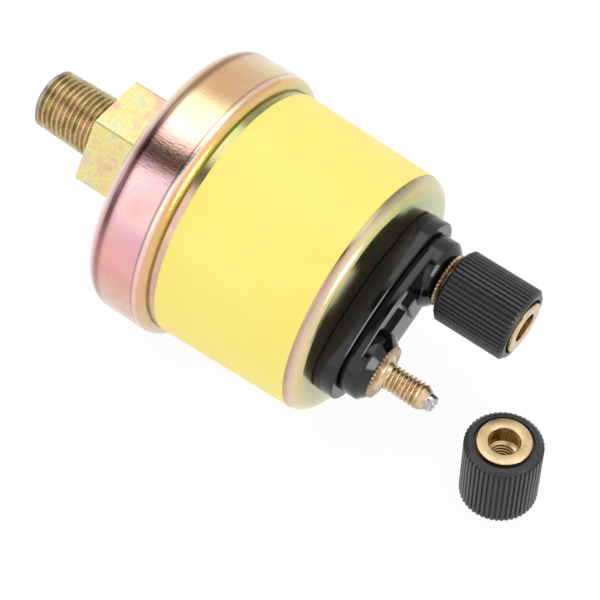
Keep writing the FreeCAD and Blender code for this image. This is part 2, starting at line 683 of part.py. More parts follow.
# bracket folded from sheet, the shaft across it and the rivets that hold it down
def build_frame():
    outer = "(sideInner + sideThickness)"
    sheet_parts = [
        block("frameBase", (FLANGE_FOOT, FRAME_TOP), ("frameLow", "frameHigh"), ("-" + outer, outer)),
        block("frameShortSide", (FLANGE_FOOT, "shortSideTop"), ("shortSideLow", "shortSideHigh"),
              ("-" + outer, "-sideInner")),
        block("frameTallSide", (FLANGE_FOOT, TALL_SIDE_TOP), ("tallSideLow", "tallSideHigh"), ("sideInner", outer))]
    holes = [
        rod("framePinHole", FLANGE_FOOT + " - 1", FRAME_TOP + " + 1", "0", "0", "pinRadius + 0.5"),
        rod("framePivotHole", "-%s - 1" % outer, outer + " + 1", "pivotAlong", "pivotAside", "pivotRadius", "Z")]
    rivets = []
    for name, place in (("Low", "rivetLow"), ("High", "rivetHigh")):
        ends = (CARRIER_FOOT, FRAME_TOP)
        holes.append(rod("frameRivetHole" + name, FLANGE_FOOT + " - 1", FRAME_TOP + " + 1", place, "0", "rivetShank"))
        rivets += [
            rod("rivetShank" + name, ends[0], ends[1], place, "0", "rivetShank"),
            rod("rivetFoot" + name, ends[0] + " - rivetHeadHeight", ends[0], place, "0", "rivetHead"),
            rod("rivetTop" + name, ends[1], ends[1] + " + rivetHeadHeight", place, "0", "rivetHead")]
        extrude(nodes["carrier_plate"], "RivetHole" + name, CARRIER_FOOT + " - 1", FLANGE_FOOT + " + 1",
                lambda s, at=place: draw_circle(s, at, "0", "rivetShank"), "PartDesign::Pocket")
    keep("mechanism_frame", cut("frame", join("frameBlank", sheet_parts), join("frameHoles", holes)))
    keep("frame_rivets", join("rivets", rivets))
    shaft = [
        rod("shaftBar", "-%s - shaftEnd" % outer, outer + " + shaftEnd", "pivotAlong", "pivotAside", "pivotRadius", "Z"),
        rod("shaftHead", outer, outer + " + shaftEnd", "pivotAlong", "pivotAside", "hubRadius", "Z")]
    keep("pivot_shaft", join("shaft", shaft))


# pin that the diaphragm lifts, and the spring that sends it back
def build_push_pin():
    tip = "(pivotAlong - padDrop - pinGap - pinTipRadius)"
    ball = plain("Part::Sphere", "pinBall", Radius="pinTipRadius")
    bind(ball, Placement__Base__x=tip)
    keep("push_pin", join("pin", [
        rod("pinFootDisc", PIN_FOOT, PIN_FOOT + " + pinFoot", "0", "0", "pinFootRadius"),
        rod("pinShankBar", PIN_FOOT, "pinShank", "0", "0", "pinRadius"),
        rod("pinTipBar", "pinShank - 1", tip, "0", "0", "pinTipRadius"), ball]))
    start = value(PIN_FOOT + " + pinFoot + springEndGap + springWire")
    end = value(CARRIER_FOOT + " - springEndGap - springWire")
    radius, wire = value("springRadius"), value("springWire")
    helix = Part.makeHelix((end - start) / value("springTurns"), end - start, radius)
    section = Part.Wire(Part.makeCircle(wire, FreeCAD.Vector(radius, 0, 0), FreeCAD.Vector(0, 1, 0)))
    spring = doc.addObject("Part::Feature", "spring")
    coil = Part.Wire(helix).makePipeShell([section], True, True)
    coil.rotate(FreeCAD.Vector(0, 0, 0), FreeCAD.Vector(0, 1, 0), 90)
    coil.translate(FreeCAD.Vector(start, 0, 0))
    spring.Shape = coil
    keep("return_spring", spring)


# rocker that the pin tips, with the wiper on its long arm
def build_rocker():
    def along_arm(item):
        item.Placement.Rotation = FreeCAD.Rotation(FreeCAD.Vector(0, 0, 1), value("armAngle"))
        return item

    def arm_block(name, near, far, width, low, high):
        bar = plain("Part::Box", name, Length="(%s) - (%s)" % (far, near), Width=width,
                    Height="(%s) - (%s)" % (high, low))
        turn_x = "cos(armAngle * 1 deg)"
        turn_y = "sin(armAngle * 1 deg)"
        return bind(along_arm(bar),
                    Placement__Base__x="pivotAlong + (%s) * %s + (%s) / 2 * %s" % (near, turn_x, width, turn_y),
                    Placement__Base__y="pivotAside + (%s) * %s - (%s) / 2 * %s" % (near, turn_y, width, turn_x),
                    Placement__Base__z=low)

    pad_foot = "(pivotAlong - padDrop)"
    hub = rod("rockerHub", "-hubHalfWidth", "hubHalfWidth", "pivotAlong", "pivotAside", "hubRadius", "Z")
    pad = block("rockerPad", (pad_foot, pad_foot + " + padThickness"), ("pivotAside", "pivotAside + padReach"),
                ("-hubHalfWidth", "hubHalfWidth"))
    arm = arm_block("rockerArm", "0", WINDING_INNER + " - armGap", "armWidth", "-armHalfThickness", "armHalfThickness")
    eye = rod("rockerEye", "-hubHalfWidth - 1", "hubHalfWidth + 1", "pivotAlong", "pivotAside",
              "pivotRadius + runningClearance", "Z")
    keep("rocker_lever", cut("rocker", join("rockerBlank", [hub, pad, arm]), eye))
    top = "(armHalfThickness + stripThickness)"
    end = "(%s - wiperGap)" % WINDING_INNER
    keep("wiper_contact", join("wiper", [
        arm_block("wiperStrip", end + " - wiperLength", end, "wiperWidth", "armHalfThickness", top),
        arm_block("wiperFinger", end + " - wiperTipLength", end, "wiperWidth", "armHalfThickness", "wiperReach")]))


# resistor: curved former on the frame's tall side, wound with wire
def build_resistor():
    turned_inner, turned_outer = WINDING_INNER, "(%s + windingDepth)" % WINDING_INNER
    inner, outer = turned_inner + " + formerCover", turned_outer + " - formerCover"
    edge = (value("formerSpan") + value("windingSpan")) / 4
    tab = "(formerSpan - windingSpan) / 2"
    core = sector("formerCore", inner, outer, "formerInner", "formerOuter", "formerSpan")
    tabs = [
        sector("formerTab%d" % number, inner, outer, "formerInner", "sideInner", tab, "%s%g" % (side, edge))
        for number, side in enumerate(("-", ""), start=1)]
    keep("resistor_former", join("former", [core] + tabs))
    count = int(SIZES["windingTurns"])
    low, high = "(formerInner - formerCover)", "(formerOuter + formerCover)"
    half = "formerCover / 2"
    turns = [sector("sleeve", turned_inner + " + " + half, turned_outer + " - " + half,
                    low + " + " + half, high + " - " + half, "windingSpan")]
    pitch = value("windingSpan") / count
    for number in range(count):
        middle = "%g" % ((number - (count - 1) / 2) * pitch)
        turns.append(sector("turn%d" % number, turned_inner, turned_outer, low, high,
                            "windingSpan / windingTurns * turnShare", middle))
    inside = sector("windingInside", inner, outer, "formerInner", "formerOuter", "formerSpan")
    keep("resistor_winding", cut("winding", join("windingTurns", turns), inside))


# The sender lies on its cup's rolled rim and on the can's rounded edge: the floor is the
# line that touches both arcs of its section.
def resting_place():
    rim_roll, can_roll = value("lipRoll"), value("canEdge")
    edge = "(canTop - canEdge)"
    run = value(edge + " - cupRim")
    drop = value("cupRadius - lipRoll - (%s - canEdge)" % can_radius(edge))
    tilt = math.atan2(drop, run) + math.asin((rim_roll - can_roll) / math.hypot(run, drop))
    height = value("cupRim") * math.sin(tilt) + value("cupRadius - lipRoll") * math.cos(tilt) + rim_roll
    rotation = FreeCAD.Rotation(FreeCAD.Vector(0, 1, 0), math.degrees(tilt)).multiply(
        FreeCAD.Rotation(FreeCAD.Vector(1, 0, 0), value("layRoll")))
    return FreeCAD.Placement(FreeCAD.Vector(0, 0, height), rotation)


build_stem()
build_base_cup()
build_stack()
build_diaphragm()
build_can()
build_label()
build_terminal_base()
build_base_seals()
build_stud("signal", "-")
build_stud("earth", "")
build_lead_strips()
build_thumb_nut("fitted_nut", INSERT_FOOT, "studSpacing / 2")
build_thumb_nut("loose_nut", "0", "0")
build_frame()
build_push_pin()
build_rocker()
build_resistor()
doc.recompute()

# everything but the loose nut lies with the sender; the loose nut stands beside it
lying = resting_place()
standing = FreeCAD.Placement(
    FreeCAD.Vector(value("looseAlong"), value("looseAside"), 0), FreeCAD.Rotation(FreeCAD.Vector(0, 1, 0), -90))
for label, item in nodes.items():
    item.Placement = (standing if label.startswith("loose_nut") else lying).multiply(item.Placement)
doc.recompute()
around = FreeCAD.BoundBox()
for item in nodes.values():
    around.add(item.Shape.optimalBoundingBox(False, False))
shift = FreeCAD.Placement(FreeCAD.Vector(-around.Center.x, -around.Center.y, 0), FreeCAD.Rotation())
for item in nodes.values():
    item.Placement = shift.multiply(item.Placement)
doc.recompute()

# nothing is written unless every object and every piece is sound
failed = [item.Name for item in doc.Objects if "Invalid" in item.State or "Error" in item.State]
failed += [label for label, item in nodes.items() if item.Shape.isNull() or not item.Shape.isValid()]
if failed:
    raise RuntimeError("these failed: %s" % ", ".join(failed))
os.makedirs("parts", exist_ok=True)
for label, item in nodes.items():
    item.Shape.exportStep("parts/%s.step" % label)
print("wrote", len(nodes), "parts, the sender placed at", nodes["pressure_stem"].Placement)
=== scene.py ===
import json
import math
import bmesh
import bpy
from mathutils import Matrix, Vector


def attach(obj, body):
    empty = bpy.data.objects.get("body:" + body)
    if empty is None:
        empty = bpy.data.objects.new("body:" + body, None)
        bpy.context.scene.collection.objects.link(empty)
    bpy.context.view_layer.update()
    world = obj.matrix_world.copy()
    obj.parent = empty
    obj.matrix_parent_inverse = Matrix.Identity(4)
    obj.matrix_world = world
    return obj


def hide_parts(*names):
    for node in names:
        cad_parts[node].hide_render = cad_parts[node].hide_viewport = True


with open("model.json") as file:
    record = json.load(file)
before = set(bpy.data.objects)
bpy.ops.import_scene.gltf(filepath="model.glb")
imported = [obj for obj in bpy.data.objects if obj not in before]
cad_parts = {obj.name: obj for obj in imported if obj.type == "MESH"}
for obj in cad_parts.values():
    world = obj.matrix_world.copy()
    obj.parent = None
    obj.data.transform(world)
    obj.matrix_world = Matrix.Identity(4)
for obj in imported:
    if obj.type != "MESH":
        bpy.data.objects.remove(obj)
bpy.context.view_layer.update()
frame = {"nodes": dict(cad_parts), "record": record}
print("frame:", len(frame["nodes"]), "nodes")

mm = 0.001  # in metres, as in the frame

# how the sender lies and where the loose nut stands, in degrees and millimetres, as in the part
lying = {"noseUp": 5.55622, "rolled": 22.4, "axisHeight": 23.9001, "alongFloor": -33.45221,
         "nutAlong": 40.64779, "nutAside": -5.8}

senderSpace = (Matrix.Translation(Vector((lying["alongFloor"], 0, lying["axisHeight"])) * mm)
               @ Matrix.Rotation(math.radians(lying["noseUp"]), 4, "Y")
               @ Matrix.Rotation(math.radians(lying["rolled"]), 4, "X") @ Matrix.Scale(mm, 4))
nutSpace = (Matrix.Translation(Vector((lying["nutAlong"], lying["nutAside"], 0)) * mm)
            @ Matrix.Rotation(math.radians(-90), 4, "Y") @ Matrix.Scale(mm, 4))


# an sRGB hex value as the linear colour that a shader takes
def linear(hexText):
    parts = [int(hexText[i:i + 2], 16) / 255 for i in (1, 3, 5)]
    return tuple(c / 12.92 if c <= 0.04045 else ((c + 0.055) / 1.055) ** 2.4 for c in parts) + (1.0,)


# one node with its settings and its links; a settings key is a socket, a property or "stops",
# which are the places, hex colours and opacities of a ramp
def addNode(tree, kind, settings=None, links=None):
    node = tree.nodes.new(kind)
    for key, setting in (settings or {}).items():
        if key == "stops":
            band = node.color_ramp.elements
            while len(band) < len(setting):
                band.new(0.5)
            for element, (place, tint, *alpha) in zip(band, setting):
                element.position = place
                element.color = linear(tint)[:3] + tuple(alpha or [1.0])
        elif isinstance(key, int) or key in node.inputs:
            node.inputs[key].default_value = linear(setting) if isinstance(setting, str) else setting
        else:
            setattr(node, key, setting)
    for key, socket in (links or {}).items():
        tree.links.new(socket, node.inputs[key])
    return node


def newMaterial(name):
    material = bpy.data.materials.new(name)
    material.use_nodes = True
    material.node_tree.nodes.clear()
    return material, material.node_tree


# the surface into the output, with its bumps: height, strength and depth in millimetres
def finishMaterial(tree, settings, links, *bumps):
    normal = {}
    for height, strength, depth in bumps:
        relief = addNode(tree, "ShaderNodeBump", {"Strength": strength, "Distance": depth * mm},
                         {"Height": height, **normal})
        normal = {"Normal": relief.outputs[0]}
    surface = addNode(tree, "ShaderNodeBsdfPrincipled", settings, {**links, **normal})
    addNode(tree, "ShaderNodeOutputMaterial", None, {"Surface": surface.outputs[0]})


# millimetres in the sender's own frame, read from the unmoved mesh
def senderPlace(tree):
    plain = addNode(tree, "ShaderNodeTexCoord")
    return addNode(tree, "ShaderNodeMapping", {
        "vector_type": "TEXTURE",
        "Location": (lying["alongFloor"] * mm, 0, lying["axisHeight"] * mm),
        "Rotation": (math.radians(lying["rolled"]), math.radians(lying["noseUp"]), 0),
        "Scale": (mm, mm, mm)}, {"Vector": plain.outputs["Object"]}).outputs[0]


# millimetres along the frame's own axes, for the loose nut
def nutPlace(tree):
    plain = addNode(tree, "ShaderNodeTexCoord")
    return addNode(tree, "ShaderNodeMapping", {"Scale": (1 / mm, 1 / mm, 1 / mm)},
                   {"Vector": plain.outputs["Object"]}).outputs[0]


# how far along the sender's axis, and the angle round it as 0 to 1
def turnShare(tree, place):
    parts = addNode(tree, "ShaderNodeSeparateXYZ", None, {0: place})
    angle = addNode(tree, "ShaderNodeMath", {"operation": "ARCTAN2"},
                    {0: parts.outputs["Z"], 1: parts.outputs["Y"]})
    share = addNode(tree, "ShaderNodeMapRange", {"From Min": -math.pi, "From Max": math.pi},
                    {"Value": angle.outputs[0]})
    return parts.outputs["X"], share.outputs[0]


# how far out from the sender's axis
def radiusFrom(tree, place):
    flat = addNode(tree, "ShaderNodeVectorMath", {"operation": "MULTIPLY", 1: (0, 1, 1)}, {0: place})
    radius = addNode(tree, "ShaderNodeVectorMath", {"operation": "LENGTH"}, {0: flat.outputs[0]})
    return radius.outputs["Value"]


# corners (along, radius, fillet) become a smooth outline, whose ends have no fillet
def roundCorners(corners, steps=6):
    outline = []
    for number, (along, radius, fillet) in enumerate(corners):
        if fillet == 0:
            outline.append((along, radius))
            continue
        here = Vector((along, radius))
        before = (Vector(corners[number - 1][:2]) - here).normalized()
        after = (Vector(corners[number + 1][:2]) - here).normalized()
        half = before.angle(after) / 2
        reach = fillet / math.tan(half)
        centre = here + (before + after).normalized() * (fillet / math.sin(half))
        start, end = here + before * reach, here + after * reach
        for step in range(steps + 1):
            arm = (start - centre).lerp(end - centre, step / steps).normalized() * fillet
            outline.append(tuple(centre + arm))
    return outline


# rows of (along, radius), one entry for each step round, become a skin about an axis; a closed
# skin joins its last row to its first
def skin(rows, about=(0, 0), closed=False):
    steps = len(rows[0]) - 1
    points, faces = [], []
    for row in rows:
        for step, (along, radius) in enumerate(row):
            angle = 2 * math.pi * step / steps
            points.append((along, about[0] + radius * math.cos(angle), about[1] + radius * math.sin(angle)))
    for number in range(len(rows) if closed else len(rows) - 1):
        low, high = number * (steps + 1), (number + 1) % len(rows) * (steps + 1)
        faces += [(low + s, low + s + 1, high + s + 1, high + s) for s in range(steps)]
    return points, faces


# the same outline at every step round
def evenRows(outline, steps):
    return [[(along, radius)] * (steps + 1) for along, radius in outline]


# right-hand thread: rows that follow the helix, cut off square at both ends; the groove's shape
# is its share of the depth at even steps over one pitch
def threadRows(cut, steps):
    pitch, depth = cut["pitch"], cut["depth"]
    length = cut["end"] - cut["start"]
    groove = [0, 0, 0.12, 0.4, 0.7, 0.94, 1, 0.94, 0.7, 0.4, 0.12, 0]
    perPitch = len(groove)
    rows = []
    for number in range(-perPitch, int(length / pitch * perPitch) + perPitch + 1):
        row = []
        for step in range(steps + 1):
            along = (number / perPitch + step / steps) * pitch
            share = min(max(along, 0), length) / length
            fade = min(1, max(0, along / cut["fadeIn"]), max(0, (length - along) / cut["fadeOut"]))
            radius = cut["startRadius"] + (cut["endRadius"] - cut["startRadius"]) * share
            row.append((cut["start"] + share * length, radius - depth * groove[number % perPitch] * fade))
        rows.append(row)
    return rows


# several shapes as one
def join(*pieces):
    points, faces = [], []
    for somePoints, someFaces in pieces:
        faces += [tuple(len(points) + corner for corner in face) for face in someFaces]
        points += somePoints
    return points, faces


# a shape in its own space becomes a piece that rides on a body and stands for its CAD nodes;
# edges over "sharp" degrees stay sharp, and doubled points are merged
def makePiece(name, shape, material, stands=(), body="sender", space=senderSpace, sharp=35):
    points, faces = shape
    mesh = bpy.data.meshes.new(name)
    mesh.from_pydata([space @ Vector(point) for point in points], [], faces)
    merged = bmesh.new()
    merged.from_mesh(mesh)
    bmesh.ops.remove_doubles(merged, verts=merged.verts, dist=0.002 * mm)
    bmesh.ops.recalc_face_normals(merged, faces=merged.faces)
    merged.to_mesh(mesh)
    merged.free()
    mesh.shade_smooth()
    mesh.set_sharp_from_angle(angle=math.radians(sharp))
    piece = bpy.data.objects.new(name, mesh)
    bpy.context.collection.objects.link(piece)
    mesh.materials.append(material)
    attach(piece, body)
    if stands:
        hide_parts(*stands)


# the camera of the photo, looking down at the sender's middle: its place and lens in
# millimetres, its directions as unit vectors and the nearest and farthest it sees in metres
view = {"place": (112.281, -153.635, 244.033), "right": (0.80956, 0.58703, 0.0),
        "up": (-0.45625, 0.62920, 0.62924), "forward": (-0.36938, 0.50941, -0.77722),
        "lens": 120, "sensor": 36, "nearest": 0.01, "farthest": 20}

camera = bpy.data.objects.new("camera", bpy.data.cameras.new("camera"))
bpy.context.collection.objects.link(camera)
camera.data.lens = view["lens"]
camera.data.sensor_width = view["sensor"]
camera.data.clip_start = view["nearest"]
camera.data.clip_end = view["farthest"]
turned = Matrix((view["right"], view["up"], [-c for c in view["forward"]])).transposed()
camera.matrix_world = Matrix.Translation(Vector(view["place"]) * mm) @ turned.to_4x4()
bpy.context.scene.camera = camera

# soft lamps in metres and watts, then the table: its colour, how far it is lifted towards white
# and its half width in metres
studio = {"lamps": [("overheadSoftbox", (-0.10, 0.15, 0.75), (0.7, 0.5), 0.9),
                    ("leftSoftbox", (-0.50, -0.50, 0.45), (0.4, 0.4), 0.5)],
          "table": "#F7F7F6", "lift": 0.94, "half": 3}

for name, place, size, power in studio["lamps"]:
    lamp = bpy.data.lights.new(name, "AREA")
    lamp.shape = "RECTANGLE"
    lamp.size, lamp.size_y = size
    lamp.energy = power
    item = bpy.data.objects.new(name, lamp)
    bpy.context.collection.objects.link(item)
    item.location = place
    item.rotation_euler = (-Vector(place)).to_track_quat("-Z", "Y").to_euler()

# The room is white with an even light. What shines shows its patches: azimuth and elevation, then
# outer and inner spread, all in degrees, and the level there.
room = {"light": 0.95, "patches": [
    (85, 30, 48, 20, 0.8), (150, 70, 22, 17, 1.2), (-114, 30, 27, 22, 1.3), (-5, 45, 32, 22, 1.15),
    (-129, 60, 12, 7, 0.12), (-110, 76, 11, 7, 0.08), (-133, 42, 10, 5, 0.3), (-6, 7, 16, 10, 6.5)]}


# 1 for what the camera sees, straight on or in a shiny or clear surface
def seenShare(tree):
    ray = addNode(tree, "ShaderNodeLightPath").outputs
    both = addNode(tree, "ShaderNodeMath", {"operation": "ADD"},
                   {0: ray["Is Camera Ray"], 1: ray["Is Glossy Ray"]})
    return addNode(tree, "ShaderNodeMath", {"operation": "ADD", "use_clamp": True},
                   {0: both.outputs[0], 1: ray["Is Transmission Ray"]}).outputs[0]


world = bpy.data.worlds.new("paleRoom")
bpy.context.scene.world = world
world.use_nodes = True
sky = world.node_tree
sky.nodes.clear()
aimed = addNode(sky, "ShaderNodeTexCoord").outputs["Generated"]
level = addNode(sky, "ShaderNodeValue")
level.outputs[0].default_value = 1.0
for azimuth, elevation, outer, inner, strength in room["patches"]:
    turnTo, rise = math.radians(azimuth), math.radians(elevation)
    towards = (math.cos(turnTo) * math.cos(rise), math.sin(turnTo) * math.cos(rise), math.sin(rise))
    near = addNode(sky, "ShaderNodeVectorMath", {"operation": "DOT_PRODUCT", 1: towards}, {0: aimed})
    share = addNode(sky, "ShaderNodeMapRange", {
        "interpolation_type": "SMOOTHSTEP", "From Min": math.cos(math.radians(outer)),
        "From Max": math.cos(math.radians(inner))}, {"Value": near.outputs["Value"]})
    level = addNode(sky, "ShaderNodeMix", {"data_type": "FLOAT", 3: strength},
                    {0: share.outputs[0], 2: level.outputs[0]})
ray = addNode(sky, "ShaderNodeLightPath")
level = addNode(sky, "ShaderNodeMix", {"data_type": "FLOAT", 3: 1.0},
                {0: ray.outputs["Is Camera Ray"], 2: level.outputs[0]})
litRoom = addNode(sky, "ShaderNodeBackground", {"Color": (1, 1, 1, 1), "Strength": room["light"]})
seenRoom = addNode(sky, "ShaderNodeBackground", {"Color": (1, 1, 1, 1)}, {"Strength": level.outputs[0]})
mixed = addNode(sky, "ShaderNodeMixShader", None,
                {0: seenShare(sky), 1: litRoom.outputs[0], 2: seenRoom.outputs[0]})
addNode(sky, "ShaderNodeOutputWorld", None, {"Surface": mixed.outputs[0]})

# white table: it is lifted where it is seen, and the object's shadow stays on it
tableMaterial, tree = newMaterial("paleTable")
paint = addNode(tree, "ShaderNodeBsdfDiffuse", {"Color": studio["table"]})
glow = addNode(tree, "ShaderNodeEmission", {"Color": (1, 1, 1, 1), "Strength": 1.0})
share = addNode(tree, "ShaderNodeMath", {"operation": "MULTIPLY", 1: studio["lift"]}, {0: seenShare(tree)})
both = addNode(tree, "ShaderNodeMixShader", None,
               {0: share.outputs[0], 1: paint.outputs[0], 2: glow.outputs[0]})
addNode(tree, "ShaderNodeOutputMaterial", None, {"Surface": both.outputs[0]})
tableMesh = bpy.data.meshes.new("table")
half = studio["half"]
tableMesh.from_pydata([(-half, -half, 0), (half, -half, 0), (half, half, 0), (-half, half, 0)], [],
                      [(0, 1, 2, 3)])
table = bpy.data.objects.new("table", tableMesh)
bpy.context.collection.objects.link(table)
tableMesh.materials.append(tableMaterial)
bpy.context.scene.view_settings.view_transform = "Standard"
print("camera, light and table")


# what every plated piece shares: how its colours drift, its drawing lines, with sizes in
# millimetres, and the pits' tint and the levels of their noise where they begin and are full
plating = {"driftSize": 12.5, "drift": 0.08, "linesRound": 550.0, "lineLength": 2.5, "lineDepth": 0.02,
           "pitTint": "#6E5A3C", "pitFrom": 0.57, "pitFull": 0.65}


# the bands along the axis, and with "rim" on from that radius towards it
def bandRamp(tree, look, along, radius):
    path = along
    if "rim" in look:
        inward = addNode(tree, "ShaderNodeMath", {"operation": "SUBTRACT", 0: look["rim"]}, {1: radius})
        path = addNode(tree, "ShaderNodeMath", {"operation": "ADD"},
                       {0: along, 1: inward.outputs[0]}).outputs[0]
    first, last = look["bands"][0][0], look["bands"][-1][0]
    share = addNode(tree, "ShaderNodeMapRange", {"From Min": first, "From Max": last}, {"Value": path})
    stops = [((at - first) / (last - first), tint, weight) for at, tint, weight in look["bands"]]
    return addNode(tree, "ShaderNodeValToRGB", {"stops": stops}, {0: share.outputs[0]})


# Zinc plate under yellow chromate on pressed or turned steel: a bright metal whose colour drifts
# from rose to gold and olive with the film's thickness. On the cup, the can and the thread, some
# colours in "turn" and "bands" are painted highlights and painted dark reflections. "turn" is the
# colour round the axis, in degrees, and how much of the bands shows there. "mottle" holds the
# colours of the patches over it, "patch" is their size in millimetres and "share" how strongly
# they show. "bands" lie over both, in millimetres along the axis; with "rim" they go on from that
# radius towards the axis.
# "scratch" is how strong the drawing lines are. "pits" are their size in millimetres, how dark
# they are and how deep in millimetres. "crown" is the raised middle of a drawn end: the radius
# where it starts, the radius where it is full and its height.
def passivatedZinc(name, look):
    material, tree = newMaterial(name)
    place = senderPlace(tree)
    along, turn = turnShare(tree, place)
    wander = addNode(tree, "ShaderNodeTexNoise", {"Scale": 1 / plating["driftSize"], "Detail": 2.0},
                     {"Vector": place})
    drift = addNode(tree, "ShaderNodeMath", {"operation": "MULTIPLY_ADD", 1: plating["drift"],
                                             2: -plating["drift"] / 2}, {0: wander.outputs["Fac"]})
    shifted = addNode(tree, "ShaderNodeMath", {"operation": "ADD"}, {0: turn, 1: drift.outputs[0]})
    stops = [((degrees + 180) / 360, *shown) for degrees, *shown in look["turn"]]
    turned = addNode(tree, "ShaderNodeValToRGB", {"stops": stops}, {0: shifted.outputs[0]})
    cloud = addNode(tree, "ShaderNodeTexNoise", {
        "Scale": 1 / look["patch"], "Detail": 3.0, "Roughness": 0.55}, {"Vector": place})
    patches = addNode(tree, "ShaderNodeValToRGB", {"stops": look["mottle"]}, {0: cloud.outputs["Fac"]})
    colour = addNode(tree, "ShaderNodeMix", {"data_type": "RGBA", 0: look["share"]},
                     {6: turned.outputs["Color"], 7: patches.outputs[0]}).outputs[2]
    radius = radiusFrom(tree, place) if "rim" in look else None
    if "bands" in look:
        over = bandRamp(tree, look, along, radius)
        seen = addNode(tree, "ShaderNodeMath", {"operation": "MULTIPLY"},
                       {0: over.outputs["Alpha"], 1: turned.outputs["Alpha"]})
        colour = addNode(tree, "ShaderNodeMix", {"data_type": "RGBA"},
                         {0: seen.outputs[0], 6: colour, 7: over.outputs["Color"]}).outputs[2]
    pitSize, pitDark, pitDepth = look["pits"]
    pits = addNode(tree, "ShaderNodeTexNoise", {"Scale": 1 / pitSize, "Detail": 3.0, "Roughness": 0.7},
                   {"Vector": place})
    dark = addNode(tree, "ShaderNodeMapRange", {
        "From Min": plating["pitFrom"], "From Max": plating["pitFull"], "To Max": pitDark},
        {"Value": pits.outputs["Fac"]})
    colour = addNode(tree, "ShaderNodeMix", {"data_type": "RGBA", 7: plating["pitTint"]},
                     {0: dark.outputs[0], 6: colour}).outputs[2]
    # drawing lines run along the axis; on the cup they are 0.25 mm apart, since finer ones
    # wouldn't show in the render
    spread = addNode(tree, "ShaderNodeMath", {"operation": "MULTIPLY", 1: plating["linesRound"]}, {0: turn})
    reach = addNode(tree, "ShaderNodeMath", {"operation": "MULTIPLY", 1: 1 / plating["lineLength"]},
                    {0: along})
    lines = addNode(tree, "ShaderNodeCombineXYZ", None, {0: reach.outputs[0], 1: spread.outputs[0]})
    grain = addNode(tree, "ShaderNodeTexNoise", {"Scale": 1.0, "Detail": 3.0, "Roughness": 0.65},
                    {"Vector": lines.outputs[0]})
    bumps = [(grain.outputs["Fac"], look["scratch"], plating["lineDepth"]),
             (pits.outputs["Fac"], 1.0, pitDepth)]
    if "crown" in look:
        outer, inner, high = look["crown"]
        crown = addNode(tree, "ShaderNodeMapRange", {
            "interpolation_type": "SMOOTHSTEP", "From Min": outer, "From Max": inner}, {"Value": radius})
        bumps.append((crown.outputs[0], 1.0, high))
    finishMaterial(tree, {"Metallic": 1.0, "Roughness": look["roughness"]}, {"Base Color": colour}, *bumps)
    return material


# Soft metal that was turned, stamped or dipped and left bare: bright, a little darker in patches
# of 1.5 mm where it has tarnished, with 0.2 mm marks from the tool.
def bareMetal(name, tint, roughness, place=senderPlace):
    material, tree = newMaterial(name)
    spot = place(tree)
    tarnish = addNode(tree, "ShaderNodeTexNoise", {"Scale": 1 / 1.5, "Detail": 4.0}, {"Vector": spot})
    colour = addNode(tree, "ShaderNodeValToRGB", {"stops": [(0.3, tint[0]), (0.7, tint[1])]},
                     {0: tarnish.outputs["Fac"]})
    marks = addNode(tree, "ShaderNodeTexNoise", {"Scale": 1 / 0.2, "Detail": 2.0}, {"Vector": spot})
    finishMaterial(tree, {"Metallic": 1.0, "Roughness": roughness}, {"Base Color": colour.outputs[0]},
                   (marks.outputs["Fac"], 0.5, 0.01))
    return material


# Moulded or pressed plastic: the mould's polish or texture sets the gloss, with a faint ripple
# whose size is in millimetres.
def mouldedPlastic(name, tint, roughness, size, place=senderPlace):
    material, tree = newMaterial(name)
    ripple = addNode(tree, "ShaderNodeTexNoise", {"Scale": 1 / size, "Detail": 3.0}, {"Vector": place(tree)})
    colour = addNode(tree, "ShaderNodeValToRGB", {"stops": [(0.35, tint[0]), (0.65, tint[1])]},
                     {0: ripple.outputs["Fac"]})
    finishMaterial(tree, {"Roughness": roughness, "IOR": 1.5}, {"Base Color": colour.outputs[0]},
                   (ripple.outputs["Fac"], 0.15, 0.02))
    return material


# in millimetres; places along the axis count from the hexagon's face at the thread, here and in
# all the sender's pieces
stem = {
    "across": 17.0, "length": 11.7, "phase": -20.5, "cornerRadius": 9.68, "faceRadius": 8.2,
    "neck": 7.0, "neckSunk": 0.3, "neckEnd": 12.6, "threadStart": -12.6, "threadIn": 0.5,
    "tipRadius": 4.746, "footRadius": 5.14, "pitch": 0.94, "depth": 0.62, "bore": 2.0, "boreEnd": -6,
    "boreFold": 0.1, "endRadius": 4.15, "chamferRadius": 4.6, "chamfer": 0.55, "steps": 96,
    "hexagonSteps": 720,
    "hexagonLook": {  # turned: yellow, with rose and green patches and many fine pits
        "turn": [(-180, "#EBD3B0"), (20, "#E8D4B8"), (90, "#E8D4B4"), (104, "#EDD6AE"), (180, "#EBD3B0")],
        "mottle": [(0.35, "#E8BCA4"), (0.41, "#ECCBA0"), (0.47, "#EFDE8E"), (0.545, "#EFE29A"),
                   (0.61, "#D4DFAC"), (0.68, "#E8C8B8")],
        "patch": 4.0, "share": 0.82, "roughness": 0.34, "scratch": 0.15, "pits": (0.15, 0.75, 0.001)},
    "threadLook": {  # cut: browner, olive in places and worn to grey at the tip, with a painted dark reflection round 98 degrees
        # 98 degrees: a painted dark reflection, darker olive
        "turn": [(-180, "#CDB88C"), (0, "#D2BE94"), (90, "#B4A878"), (98, "#9C9268"), (112, "#CDBA90"),
                 (180, "#CDB88C")],
        "bands": [(-12.6, "#8A8A88", 0.95), (-11.9, "#98958C", 0.8), (-10.9, "#A09A80", 0.0)],
        "mottle": [(0.36, "#8E8A5C"), (0.5, "#D0B890"), (0.62, "#E0BEA8")],
        "patch": 1.8, "share": 0.55, "roughness": 0.24, "scratch": 0.15, "pits": (0.35, 0.6, 0.001)}}


# the face at the thread, the sides and the face at the cup, cut to the hexagon's flats
def hexagonRows():
    steps = stem["hexagonSteps"]
    reach = stem["across"] / 2
    outline = [(0, 0), (0, stem["footRadius"]), (0, stem["faceRadius"]), (0, stem["cornerRadius"]),
               (stem["length"], stem["cornerRadius"]), (stem["length"], 0)]
    rows = []
    for along, limit in outline:
        row = []
        for step in range(steps + 1):
            angle = (360 * step / steps - stem["phase"]) % 60 - 30
            row.append((along, min(limit, reach / math.cos(math.radians(angle)))))
        rows.append(row)
    return rows


